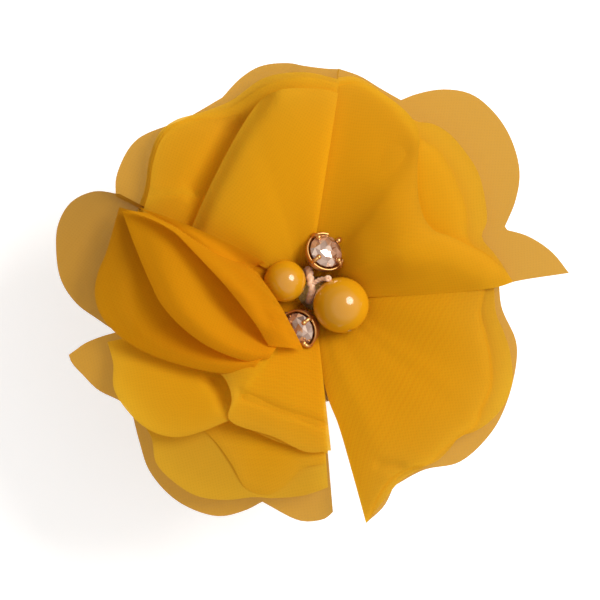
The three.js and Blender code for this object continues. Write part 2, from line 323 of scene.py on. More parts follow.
# UVs of the cloth pieces are millimetres on the flat cloth.
CHIFFON_COLOUR = (0.93, 0.53, 0.012, 1)
CHIFFON_DEEP = (0.86, 0.39, 0.007, 1)
CHIFFON_PALE = (0.83, 0.52, 0.035, 1)
# The backmost single layer's colour, darkened as painted shade over the floor's light that shows through it.
CHIFFON_SINGLE_PAINTED_SHADE = (0.53, 0.26, 0.018, 1)
# Multiplied in as painted shade where folds in front keep the light off a layer.
PAINTED_SHADE_TINT = (0.54, 0.48, 0.6, 1)
CHIFFON_SHEEN = (0.5, 0.33, 0.12, 1)
# Light seen through the cloth: tinted by the yarn, and dimmed as painted shade.
CHIFFON_CLEAR = (0.70, 0.53, 0.24, 1)
YARN_PITCH = 0.3
BAND_PITCH = 0.5
BROAD_BAND_PITCH = 1.15
FINE_BAND_SHARE = 0.75
BAND_WANDER = 1.6
GATHER_DEEPENING = 0.55
THROUGH_SHARE = 0.46
SHEEN_SHARE = 0.05
CLOTH_COVER = 0.9
WEAVE_GAPS = 0.06
HEM_THINNING = 0.15


def chiffon(name, bands, band_angle, painted_shading=0.0):
    """Thin crossed weave that lets light through, with the soft bands that layers make together.

    It deepens where it is gathered in the middle of the flower, and pales where fewer layers lie together.
    The backmost single layer is darkened as painted shade over the floor's light that shows through it.
    Painted shade darkens it where folds in front keep the light off. The last number deepens a whole petal
    as painted shade, and below 0 lightens it as painted light.
    """
    nodes = Nodes(name)
    place, u, v = uv_parts(nodes)
    weave = nodes.math("MULTIPLY", stripes(nodes, u, YARN_PITCH), stripes(nodes, v, YARN_PITCH))
    wander = nodes.add("ShaderNodeTexNoise", Vector=place, Scale=0.1, Detail=0.0)
    shift = nodes.math("MULTIPLY", wander.outputs[0], BAND_WANDER)
    across = nodes.math("ADD", nodes.math("MULTIPLY", u, math.cos(band_angle)),
                        nodes.math("MULTIPLY", v, math.sin(band_angle)))
    across = nodes.math("ADD", across, shift)
    fine = stripes(nodes, across, BAND_PITCH)
    broad = stripes(nodes, across, BROAD_BAND_PITCH)
    patchy = nodes.add("ShaderNodeTexNoise", Vector=place, Scale=0.09, Detail=1.0)
    both = nodes.math("ADD", nodes.math("MULTIPLY", fine, FINE_BAND_SHARE),
                      nodes.math("MULTIPLY", broad, 1 - FINE_BAND_SHARE))
    band_mask = nodes.math("MULTIPLY", nodes.math("MULTIPLY", both, 2 * bands), patchy.outputs[0])
    gathered = nodes.add("ShaderNodeAttribute", {"attribute_name": "gathered"}).outputs["Fac"]
    # The last number of the material deepens a whole petal as painted shade; below 0 it lightens it as
    # painted light.
    deep = nodes.math("ADD", nodes.math("MULTIPLY", gathered, GATHER_DEEPENING), painted_shading)
    deep = nodes.math("ADD", deep, band_mask, clamp=True)
    single = nodes.add("ShaderNodeAttribute", {"attribute_name": "single"}).outputs["Fac"]
    first_half = nodes.math("MULTIPLY", single, 2.0, clamp=True)
    single_painted_shade = nodes.math("SUBTRACT", nodes.math("MULTIPLY", single, 2.0), 1.0, clamp=True)
    sheltered = nodes.add("ShaderNodeAttribute", {"attribute_name": "sheltered"}).outputs["Fac"]
    colour = nodes.mix_colour(deep, CHIFFON_COLOUR, CHIFFON_DEEP)
    colour = nodes.mix_colour(first_half, colour, CHIFFON_PALE)
    # Towards the backmost single layer the colour pales, then darkens as painted shade.
    colour = nodes.mix_colour(single_painted_shade, colour, CHIFFON_SINGLE_PAINTED_SHADE)
    # Painted shade where folds in front keep the light off this layer.
    colour = nodes.mix_colour(sheltered, colour, PAINTED_SHADE_TINT, "MULTIPLY")
    normal = nodes.bump(nodes.math("ADD", weave, band_mask), 0.12, 0.00004)
    front = nodes.add("ShaderNodeBsdfDiffuse", Color=colour, Roughness=0.6, Normal=normal)
    through = nodes.add("ShaderNodeBsdfTranslucent", Color=colour, Normal=normal)
    sheen = nodes.add("ShaderNodeBsdfSheen", Color=CHIFFON_SHEEN, Roughness=0.5, Normal=normal)
    cloth = nodes.mix_shader(THROUGH_SHARE, front, through)
    glossed = nodes.mix_shader(SHEEN_SHARE, cloth, sheen)
    # What shows through the weave is tinted by the yarn and dimmed as painted shade.
    clear = nodes.add("ShaderNodeBsdfTransparent", Color=CHIFFON_CLEAR)
    hem = nodes.add("ShaderNodeAttribute", {"attribute_name": "hem"}).outputs["Fac"]
    hem = nodes.math("MULTIPLY", hem, nodes.math("SUBTRACT", 1.0, nodes.math("MULTIPLY", single, 0.9)))
    open_cloth = nodes.math("ADD", nodes.math("MULTIPLY", weave, WEAVE_GAPS),
                            nodes.math("MULTIPLY", hem, HEM_THINNING))
    cover = nodes.math("SUBTRACT", CLOTH_COVER, open_cloth)
    return nodes.done(nodes.mix_shader(cover, clear, glossed))


def pearl_material():
    """Golden imitation pearl under a hard clear lacquer, with a broad soft lustre. Its deep coloured body
    carries a painted reflection: darker facing the camera, lighter towards its outline.
    """
    nodes = Nodes("pearl_lacquer")
    # Painted reflection: the body is darker facing the camera and lighter towards its outline.
    facing = nodes.add("ShaderNodeLayerWeight", Blend=0.35)
    body = nodes.mix_colour(facing.outputs["Facing"], (0.50, 0.21, 0.002, 1), (0.90, 0.41, 0.004, 1))
    spots = nodes.add("ShaderNodeTexNoise", Scale=900.0, Detail=2.0)
    tinted = nodes.mix_colour(nodes.math("MULTIPLY", spots.outputs[0], 0.05), body, (0.8, 0.5, 0.05, 1))
    surface = nodes.add("ShaderNodeBsdfPrincipled", Base_Color=tinted, Metallic=0.0, Roughness=0.45)
    surface.inputs["Specular IOR Level"].default_value = 0.1
    surface.inputs["Coat Weight"].default_value = 1.0
    surface.inputs["Coat IOR"].default_value = 1.52
    surface.inputs["Coat Roughness"].default_value = 0.13
    return nodes.done(surface)


def metal(name, colour, roughness):
    """Polished metal with faint rolling marks and patches that are a little duller."""
    nodes = Nodes(name)
    place = nodes.add("ShaderNodeTexCoord")
    stretched = nodes.add("ShaderNodeMapping", Vector=place.outputs["Object"], Scale=(0.08, 1, 1))
    marks = nodes.add("ShaderNodeTexNoise", Vector=stretched.outputs[0], Scale=3000.0, Detail=3.0)
    patches = nodes.add("ShaderNodeTexNoise", Vector=place.outputs["Object"], Scale=220.0, Detail=2.0)
    rough = nodes.math("ADD", roughness, nodes.math("MULTIPLY", patches.outputs[0], 0.12))
    normal = nodes.bump(marks.outputs[0], 0.08, 0.00002)
    worn = nodes.mix_colour(patches.outputs[0], colour, [c * 0.86 for c in colour[:3]] + [1])
    surface = nodes.add("ShaderNodeBsdfPrincipled", Base_Color=worn, Metallic=1.0, Roughness=rough,
                        Normal=normal)
    return nodes.done(surface)


def crystal_material():
    """Foil-backed champagne glass. Each facet is painted its own tone at random, from brown to rose, as
    painted reflection.
    """
    nodes = Nodes("crystal_glass")
    shape = nodes.add("ShaderNodeNewGeometry")
    chance = nodes.add("ShaderNodeTexWhiteNoise", {"noise_dimensions": "3D"},
                       Vector=shape.outputs["True Normal"])
    # Painted reflection: each facet gets its own tone, from brown to rose.
    painted_facet_tone = nodes.mix_colour(chance.outputs[0], (0.24, 0.10, 0.05, 1), (0.84, 0.60, 0.46, 1))
    foil = nodes.add("ShaderNodeBsdfGlossy", Color=painted_facet_tone, Roughness=0.12)
    body = nodes.add("ShaderNodeBsdfDiffuse", Color=painted_facet_tone)
    backed = nodes.mix_shader(0.45, foil, body)
    face = nodes.add("ShaderNodeBsdfGlossy", Color=(1, 0.95, 0.9, 1), Roughness=0.05)
    shine = nodes.add("ShaderNodeFresnel", IOR=1.7)
    return nodes.done(nodes.mix_shader(nodes.math("ADD", shine.outputs[0], 0.1), backed, face))


def felt_material():
    """Pressed wool: two sizes of soft mottling and a fibrous bump."""
    nodes = Nodes("felt")
    place = nodes.add("ShaderNodeTexCoord")
    fibres = nodes.add("ShaderNodeTexNoise", Vector=place.outputs["Object"], Scale=2600.0, Detail=6.0,
                       Roughness=0.8)
    clumps = nodes.add("ShaderNodeTexNoise", Vector=place.outputs["Object"], Scale=420.0, Detail=3.0)
    height = nodes.math("ADD", fibres.outputs[0], clumps.outputs[0])
    colour = nodes.mix_colour(fibres.outputs[0], (0.66, 0.33, 0.02, 1), (0.97, 0.60, 0.09, 1))
    normal = nodes.bump(height, 1.0, 0.0005)
    surface = nodes.add("ShaderNodeBsdfPrincipled", Base_Color=colour, Roughness=0.95, Normal=normal)
    surface.inputs["Sheen Weight"].default_value = 0.5
    surface.inputs["Sheen Roughness"].default_value = 0.6
    return nodes.done(surface)


RIB_PITCH = 0.55
RIBBON_THREAD_PITCH = 0.16


def ribbon_material():
    """Grosgrain: fine threads that run along the ribbon over its cross ribs, painted lighter on their crowns
    and darker between them, painted light and shade in step with their relief.
    """
    nodes = Nodes("grosgrain")
    _, u, v = uv_parts(nodes)
    threads = stripes(nodes, v, RIBBON_THREAD_PITCH)
    rib_painted_shade = stripes(nodes, u, RIB_PITCH)
    # Painted light on the rib crowns and painted shade in the grooves between them.
    colour = nodes.mix_colour(rib_painted_shade, (0.42, 0.17, 0.008, 1), (0.74, 0.36, 0.03, 1))
    normal = nodes.bump(threads, 0.5, 0.00003)
    surface = nodes.add("ShaderNodeBsdfPrincipled", Base_Color=colour, Roughness=0.62, Normal=normal)
    surface.inputs["Sheen Weight"].default_value = 0.4
    return nodes.done(surface)


def glue_material():
    """Cloudy hot glue."""
    nodes = Nodes("hot_glue")
    haze = nodes.add("ShaderNodeTexNoise", Scale=500.0, Detail=3.0)
    colour = nodes.mix_colour(haze.outputs[0], (0.80, 0.72, 0.55, 1), (0.93, 0.90, 0.82, 1))
    surface = nodes.add("ShaderNodeBsdfPrincipled", Base_Color=colour, Roughness=0.28)
    surface.inputs["Subsurface Weight"].default_value = 0.5
    surface.inputs["Subsurface Radius"].default_value = (0.002, 0.0015, 0.001)
    surface.inputs["Transmission Weight"].default_value = 0.25
    return nodes.done(surface)


def thread_material():
    """Pale doubled sewing thread."""
    nodes = Nodes("thread")
    place = nodes.add("ShaderNodeTexCoord")
    fibres = nodes.add("ShaderNodeTexNoise", Vector=place.outputs["Object"], Scale=6000.0, Detail=4.0)
    colour = nodes.mix_colour(fibres.outputs[0], (0.66, 0.34, 0.17, 1), (0.90, 0.62, 0.42, 1))
    normal = nodes.bump(fibres.outputs[0], 0.4, 0.00003)
    surface = nodes.add("ShaderNodeBsdfPrincipled", Base_Color=colour, Roughness=0.45, Normal=normal)
    surface.inputs["Subsurface Weight"].default_value = 0.3
    surface.inputs["Subsurface Radius"].default_value = (0.0006, 0.0004, 0.0002)
    surface.inputs["Sheen Weight"].default_value = 0.3
    return nodes.done(surface)


# ---------- the petals ----------

# How a layer climbs from its sewn corner to its edge: (share of the way out, share of the climb).
DOME = [(0, 0), (0.18, 0.36), (0.4, 0.70), (0.7, 0.93), (1, 1)]
LIP = [(0, 0), (0.33, 0.37), (0.58, 0.60), (0.70, 0.80), (0.80, 0.94), (0.88, 1.0), (1, 0.93)]
SLOPE = [(0, 0), (0.2, 0.33), (0.45, 0.63), (0.72, 0.86), (1, 1)]
PROFILE_STEPS = 80
ROOT_RADIUS = 1.7
LAYER_COLUMNS = 60
LAYER_ROWS = 48
SIDE_REACH = 2.5
PUCKER_HEIGHT = 0.14
PUCKER_FADE = 7
PUCKER_WAVES = 34
RUFFLE_WAVES = 17
HEM_WIDTH = 0.4
GATHER_REACH = 7.0
# How much of a layer's painted shade is left at its hem.
PAINTED_SHADE_AT_HEM = 0.8
PALING = 0.6
PALING_POWER = 5
UV_STEP = (3.1, 1.7)


def profile_curve(points, t):
    """Height share along a rib, through (t, share) points."""
    path = smooth_path([(x, y, 0) for x, y in points], PROFILE_STEPS)
    return np.interp(t, path[:, 0], path[:, 1])


def distance_to_path(x, y, path):
    """Unsigned distance of each point to a path, and which side it is on (positive to the left)."""
    best = np.full(x.shape, 1e9)
    side = np.zeros(x.shape)
    for (ax, ay), (bx, by) in zip(path, path[1:]):
        dx = bx - ax
        dy = by - ay
        t = np.clip(((x - ax) * dx + (y - ay) * dy) / (dx * dx + dy * dy), 0, 1)
        px = x - ax - t * dx
        py = y - ay - t * dy
        distance = np.hypot(px, py)
        nearer = distance < best
        best = np.where(nearer, distance, best)
        side = np.where(nearer, np.sign(dx * py - dy * px), side)
    return best, side


def crease(x, y, path, height, left, right):
    """A soft ridge (or, with a height below 0, a valley) along a path, fading over its two widths."""
    distance, side = distance_to_path(x, y, path)
    width = np.where(side > 0, left, right)
    return height * np.exp(-(distance / width) ** 2)


def follow(grid, side, weight):
    """Pulls the ribs of a grid of points to a given first fold edge, by each rib's weight."""
    wanted = smooth_path(side, LAYER_ROWS)
    return grid + (wanted - grid[:, 0])[:, None, :] * weight[None, :, None]


def with_heights(fold, low, high):
    """A fold edge seen from the front, given heights that rise as the petal does."""
    total = Vector(fold[-1]).length
    shares = [Vector(p).length / total for p in fold]
    heights = profile_curve(DOME, np.array(shares))
    return [(x, y, low + (high - low) * h) for (x, y), h in zip(fold, heights)]


def layer(rim, root_angles=None, root_z=None, lift=0.0, profile=DOME, creases=(), ruffle=0.05,
          side_a=None, root_path=None, sheltered=0.0):
    """One layer of a petal: a grid of points, and the painted shade that it carries
    where the folds in front keep the light off it.

    Its rows run from the sewn corner out to `rim`, the edge of the cloth. The corner is an arc about the
    middle of the flower, or else `root_path`. `side_a` is where its first fold lies.
    """
    edge = smooth_path(rim, LAYER_COLUMNS)
    across = np.linspace(0, 1, LAYER_COLUMNS)
    along = np.linspace(0, 1, LAYER_ROWS)
    if root_path:
        root = smooth_path(root_path, LAYER_COLUMNS)
    else:
        angle = np.radians(np.interp(across, [0, 1], root_angles))
        ring = [ROOT_RADIUS * np.cos(angle), ROOT_RADIUS * np.sin(angle), np.full(angle.shape, root_z)]
        root = np.stack(ring, axis=1)
    t = along[:, None]
    grid = root[None] * (1 - t[..., None]) + edge[None] * t[..., None]
    share = profile_curve(profile, along)[:, None]
    grid[..., 2] = root[:, 2] + (edge[:, 2] - root[:, 2]) * share
    grid[..., 2] += lift * np.sin(math.pi * across) ** 0.7 * np.sin(math.pi * t ** 0.8)
    if side_a:
        grid = follow(grid, side_a, (1 - across) ** SIDE_REACH)
    for path, height, left, right in creases:
        grid[..., 2] += crease(grid[..., 0], grid[..., 1], path, height, left, right)
    grid[..., 2] += PUCKER_HEIGHT * np.exp(-(t * PUCKER_FADE) ** 2) * np.sin(across * PUCKER_WAVES)
    grid[..., 2] += ruffle * t ** 5 * np.sin(across * RUFFLE_WAVES + 1.3 * np.sin(across * 9))
    return grid, sheltered


def flat_uvs(points):
    """Millimetres on the flat cloth: distance along each rib, turned by the angle of the rib in it."""
    steps = np.linalg.norm(np.diff(points, axis=0), axis=2)
    radius = np.vstack([np.zeros(points.shape[1]), np.cumsum(steps, axis=0)]) + ROOT_RADIUS
    arc = np.linalg.norm(np.diff(points[-1], axis=0), axis=1)
    angle = np.concatenate([[0], np.cumsum(arc)]) / radius[-1].mean()
    return np.stack([radius * np.cos(angle), radius * np.sin(angle)], axis=-1)


def hem_nearness(points):
    """1 on the cut edge of the cloth, fading to 0 within a millimetre."""
    steps = np.linalg.norm(np.diff(points, axis=0), axis=2)
    inward = np.vstack([np.cumsum(steps[::-1], axis=0)[::-1], np.zeros(points.shape[1])])
    return np.exp(-((inward / HEM_WIDTH) ** 2))


def petal(name, material, layers, pale=0.5):
    """A folded disc of cloth: its layers share their fold edges, and each is sewn down at its corner.

    `single` is 1 on the backmost layer, which alone covers the rim, at least `pale` on the layer before it,
    and on the others it grows towards the edge of the cloth, to a share of `pale`.
    `gathered` is 1 in the middle of the flower. The painted shade is most on a layer's first side, and less
    towards its edge.
    """
    parts = []
    uvs = []
    hem = []
    single = []
    gathered = []
    sheltered = []
    # How the painted shade spreads over a layer: most on its first side, a little less towards its hem.
    shelter = np.linspace(1, PAINTED_SHADE_AT_HEM, LAYER_ROWS)[:, None] * np.linspace(1, 0, LAYER_COLUMNS)[None]
    paling = np.repeat(PALING * pale * np.linspace(0, 1, LAYER_ROWS) ** PALING_POWER, LAYER_COLUMNS)
    thin = [0.0] * (len(layers) - 2) + [pale, 1.0]
    for number, (points, its_painted_shade) in enumerate(layers):
        vertices = [Vector(p) for p in points.reshape(-1, 3)]
        parts.append((vertices, grid_faces(LAYER_ROWS, LAYER_COLUMNS)))
        uvs += list(map(tuple, flat_uvs(points).reshape(-1, 2) + np.array(UV_STEP) * number))
        hem += list(hem_nearness(points).ravel())
        single += list(np.maximum(paling, thin[number]))
        sheltered += list((its_painted_shade * shelter).ravel())
        gathered += [math.exp(-(v.xy.length / GATHER_REACH) ** 2) for v in vertices]
    vertices, faces = merge(parts)
    made = piece(name, vertices, faces, material, uvs=uvs, hem=hem, single=single, gathered=gathered,
                 sheltered=sheltered)
    return stands_for(made, name)


def petal_top():
    """Folded once more on its left: the right half rolls over a hollow in the left half."""
    roll = [(-12.4, 6.2), (-10.9, 9.9), (-9.7, 12.2), (-8.3, 15), (-6.9, 17.2), (-6, 18.3), (-5.1, 19.8)]
    right = [(-12.4, 6.4, 7.4), (-10.8, 10, 8.6), (-8.2, 15.1, 9.2), (-6.4, 18, 9.3), (-5.3, 19.3, 9.5),
             (-3.5, 20.2, 9.6), (-1.1, 20.4, 9.6), (1.3, 20.2, 9.4), (2.3, 19.9, 9)]
    left = [(-17.4, 7.6, 5), (-16.6, 10.3, 5.6), (-16.2, 13, 5.9), (-15.2, 15.6, 6.2), (-13.6, 16.9, 6.3),
            (-11, 17.3, 6.3), (-8.8, 17.6, 6.2), (-6.5, 18.6, 6.2), (-3, 19.6, 7)]
    second = [(-17.6, 7.9, 4.8), (-16.8, 10.5, 5.2), (-16.4, 13.2, 5.5), (-15.4, 15.8, 5.8),
              (-13.8, 17.1, 5.9), (-11.3, 17.8, 6), (-8.4, 18.6, 6.2), (-4.5, 20.9, 8), (-1, 21.5, 8.9),
              (2.3, 20.9, 8.7)]
    third = [(-17.8, 8.2, 4.5), (-17, 10.7, 4.8), (-16.6, 13.4, 5), (-15.6, 16, 5.2), (-14, 17.3, 5.4),
             (-11.3, 18.1, 5.5), (-8.5, 19.2, 5.8), (-5, 21.5, 7.2), (-1, 22, 8.3), (2.4, 21.3, 8.4)]
    back = [(-20, 9.7, 3.8), (-19.9, 11.8, 3.6), (-18, 15.3, 3.6), (-13, 17.5, 4), (-9.3, 19.6, 4.4),
            (-9.3, 19.6, 4.4), (-7.5, 21.5, 4.8), (-5.5, 22.7, 5.4), (-2.7, 23, 6.2), (-1.1, 22.7, 7),
            (1.2, 22.4, 7.4), (2.4, 22.35, 7.6)]
    pleat = [(-19.3, 9.8), (-15, 9.95), (-12.6, 10)]
    dark = [(-11.9, 10.6), (-10.2, 13.4), (-8.6, 16.2)]
    nook = [(-8.1, 16.6), (-7.6, 17.1)]
    hollow = [(dark, -0.9, 1.1, 1.6), (nook, -0.4, 0.6, 0.6)]
    return petal("petal_top", chiffon("chiffon_top", 0.12, 0.4), [
        layer(right, (156, 108), 2.3, 0.5, creases=[(roll, -1.4, 0.7, 0.9)]),
        layer(left, (166, 112), 1.9, 0.0, creases=hollow + [(pleat, 0.6, 0.25, 1.1)]),
        layer(second, (166, 108), 1.7, -0.2, creases=hollow),
        layer(third, (166, 106), 1.5, -0.4, creases=hollow),
        layer(back, (166, 104), 1.3, -0.6, ruffle=0.12, creases=[(dark, -1.2, 1.2, 1.4)]),
    ], pale=0.55)


def petal_upper_right():
    lower_fold = [(1.6, -0.6), (5.9, -0.4), (12.5, -0.1), (18.3, 0.6), (19.8, 1.1)]
    long_fold = lower_fold + [(25.4, 2)]
    front = [(19.8, 1.1, 6.8), (19, 2.2, 7.4), (17, 3.8, 8.2), (15, 4.9, 9), (13.3, 5.7, 9.6),
             (11.9, 6.2, 10.1), (10.9, 7.4, 10.4), (10.3, 9.5, 10.4), (10.2, 12.8, 10.2), (10.3, 16.2, 9.6),
             (8.5, 18.6, 8.8), (4.5, 20.9, 8.1), (2.3, 20.6, 7.9)]
    second = [(19.5, 1.2, 6.6), (17.2, 3.8, 7.6), (15.4, 5, 8.2), (15, 6.3, 8.5), (15, 8, 8.6),
              (14.3, 10.4, 8.7), (13.2, 12.8, 8.8), (12, 14.5, 8.9), (10.6, 15.3, 9), (7.8, 18.8, 8.3),
              (4, 21.2, 7.7), (2.3, 21.1, 7.6)]
    third = [(19.7, 1.3, 6.4), (18, 3.9, 6.9), (16.6, 5.7, 7.2), (17.1, 7.2, 7.3), (17, 9, 7.3),
             (16.3, 12, 7.3), (15, 14.1, 7.4), (13.3, 16, 7.6), (11.7, 16.9, 7.7), (10, 17.2, 7.8),
             (7, 19.8, 7.4), (4, 21.6, 7.1), (2.3, 21.5, 7.2)]
    back = [(25.4, 2, 6.2), (23.7, 4.1, 6), (21.3, 5.7, 5.8), (18.9, 6.4, 5.8), (18.9, 6.4, 5.8),
            (20.1, 9.3, 5.4), (20.5, 12.1, 5.2), (19.7, 15.3, 5.2), (18.1, 17.9, 5.2), (15.7, 19.9, 5.2),
            (12.9, 20.4, 5.4), (10.1, 19.9, 5.6), (8.6, 19.3, 5.8), (8.6, 19.3, 5.8), (6.5, 20.5, 6),
            (4.5, 21.7, 6.2), (2.3, 22.45, 6.4)]
    hollow = [(6.2, 6.5), (8.6, 9.5), (8.9, 13)]
    fold = [(9, 3.2), (13, 3.4), (16.5, 1.8)]
    return petal("petal_upper_right", chiffon("chiffon_upper_right", 0.12, 1.9), [
        layer(front, (-20, 116), 2.1, 0.2, creases=[(hollow, -0.8, 3, 3), (fold, 0.5, 1.8, 1.8)],
              side_a=with_heights(lower_fold, 2.1, 6.8)),
        layer(second, (-20, 114), 1.9, 0.1, side_a=with_heights(lower_fold, 1.9, 6.6)),
        layer(third, (-20, 112), 1.7, -0.1, side_a=with_heights(lower_fold, 1.7, 6.4)),
        layer(back, (-20, 108), 1.5, -0.3, ruffle=0.12, side_a=with_heights(long_fold, 1.5, 6.2)),
    ])


def petal_lower_right():
    left_fold = [(0.35, -1.6), (0.35, -5.5), (1.3, -10.5), (2.3, -13.1), (3.7, -17.9), (5.1, -23)]
    front = [(5.1, -23, 7.2), (6.4, -20, 7.5), (7.6, -18.4, 7.8), (9.5, -17.4, 7.9), (11, -17, 8),
             (12.4, -15.8, 8.1), (13.9, -14.5, 8.2), (15.9, -13, 8.2), (16.5, -11.3, 8.2), (17.3, -9.6, 8.1),
             (17.4, -7, 8.1), (16.9, -4.5, 8), (16.3, -2.2, 7.6), (16.9, 1, 6.6)]
    second = [(5.1, -23, 7), (6.6, -20.3, 7.2), (7.9, -18.7, 7.4), (9.7, -17.6, 7.5), (11.3, -17.1, 7.6),
              (12.7, -15.9, 7.6), (14.2, -14.6, 7.6), (16.2, -13.2, 7.6), (16.8, -11.5, 7.6),
              (17.6, -9.8, 7.5), (17.7, -7, 7.5), (17.2, -4.4, 7.5), (16.6, -2, 7.2), (17.2, 1, 6.4)]
    third = [(5.1, -23, 6.8), (6.8, -20.8, 7), (8.6, -18.7, 7), (10.9, -17.4, 7), (12.3, -16.7, 7),
             (13.5, -15.5, 7), (14.4, -14.4, 7), (16, -13.8, 7), (17.5, -12.8, 7), (18.8, -11.3, 7),
             (19.7, -9, 6.9), (19.5, -6, 6.8), (18.9, -4, 6.7), (18.1, -2, 6.6), (17.9, 1.1, 6.2)]
    back = [(5.1, -23, 6.6), (6.9, -21.3, 6.4), (7.9, -19.3, 6.2), (7.9, -19.3, 6.2), (10.9, -17.7, 5.9),
            (14.5, -16.9, 5.6), (17.7, -13.9, 5.4), (19.3, -10.7, 5.4), (20.2, -6.7, 5.4), (20.1, -4.7, 5.5),
            (18.7, -1.5, 5.8), (18.4, 1, 6)]
    crinkle = [(6.4, -17.1), (8.6, -17.3)]
    # Its colour is lightened a little, painted light on its panel.
    return petal("petal_lower_right", chiffon("chiffon_lower_right", 0.36, 0.9, -0.1), [
        layer(front, (-78, 8), 1.9, 0.5, SLOPE, creases=[(crinkle, -0.4, 0.4, 0.5)],
              side_a=with_heights(left_fold, 1.9, 7.2)),
        layer(second, (-78, 8), 1.7, 0.35, SLOPE, side_a=with_heights(left_fold, 1.7, 7)),
        layer(third, (-78, 8), 1.5, 0.15, SLOPE, side_a=with_heights(left_fold, 1.5, 6.8)),
        layer(back, (-78, 8), 1.3, 0.0, SLOPE, ruffle=0.1, side_a=with_heights(left_fold, 1.3, 6.6)),
    ], pale=0.6)


def petal_lower_left():
    upper_edge = [(-1.6, -0.5), (-8, -2.2), (-19.8, -3.9), (-23, -5), (-24, -5.7), (-24.7, -6.2)]
    front = [(-19, -4.8, 5.4), (-16, -5.9, 6.2), (-12, -7.2, 7), (-9.4, -8.1, 7.9), (-8.6, -9.3, 8.4),
             (-8.3, -10.7, 8.4), (-8.6, -12.6, 8.1), (-4, -14.4, 7.9), (-0.7, -15.9, 7.8), (1.6, -15.7, 7.8)]
    second = [(-20.8, -4.9, 5.2), (-20.2, -7, 5.7), (-20.1, -9.6, 6.1), (-18.2, -12.4, 6.6),
              (-16.1, -13.9, 7), (-13.9, -14.4, 7.3), (-11.5, -13.9, 7.6), (-8.5, -12.7, 7.9),
              (-8.5, -12.7, 7.9), (-5.9, -13.9, 7.6), (-2.7, -15.2, 7.5), (1.3, -16, 7.5)]
    middle = [(-19, -6.8, 4.9), (-14, -11.5, 5.5), (-10.2, -14.6, 5.9), (-8.4, -17, 6.1), (-6.8, -19.6, 6.3),
              (-4.6, -20.1, 6.6), (-2.7, -19, 6.85), (-1.2, -17.5, 7.05), (1.1, -17, 7.2)]
    third = [(-20.2, -5.2, 4.6), (-19.6, -9, 4.9), (-18.1, -12, 5.2), (-16.4, -14.4, 5.5), (-15.9, -17, 5.6),
             (-14, -19, 5.7), (-11.8, -20.3, 5.8), (-9, -20.7, 6), (-6, -20.4, 6.3), (-4.4, -20.5, 6.5),
             (-1, -20.2, 6.8), (1.3, -19.4, 7.1)]
    back = [(-24.7, -6.2, 4), (-24.4, -7, 3.9), (-23.3, -8.2, 3.8), (-21.8, -9.7, 3.8), (-19.3, -11, 4.2),
            (-18.3, -12.2, 4.2), (-18.3, -12.2, 4.2), (-17.6, -15, 3.6), (-16.6, -17.9, 3.2),
            (-13.8, -20.9, 3.2), (-9.8, -22.4, 3.6), (-7, -21.8, 4), (-5.3, -20.9, 4.8), (-5.3, -20.9, 4.8),
            (-1.9, -22.7, 4.6), (-0.7, -22.9, 4.8), (1, -22.6, 5.2), (1.8, -21.9, 5.8)]
    under_left = [(-22, -5.4), (-18.3, -5.8), (-13.5, -7.6), (-10, -8.5)]
    pocket = [(-10.2, -8.7), (-9.4, -9.6), (-9, -10.9)]
    step = [(-7.5, -10.2), (-3, -12), (1.8, -13.6)]
    shadowed = [(under_left, -0.3, 1.2, 1.1)]
    return petal("petal_lower_left", chiffon("chiffon_lower_left", 0.22, 1.2), [
        layer(front, (-164, -88), 2, 0.5, creases=shadowed + [(step, -0.5, 0.5, 0.3)]),
        layer(second, (-164, -88), 1.8, 0.5, creases=shadowed + [(pocket, -0.9, 0.6, 0.8)]),
        layer(middle, (-140, -88), 1.7, 0.7),
        layer(third, (-164, -88), 1.6, 0.4, creases=shadowed),
        layer(back, (-164, -88), 1.4, 0.1, ruffle=0.12, side_a=with_heights(upper_edge, 1.4, 4)),
    ], pale=0.62)


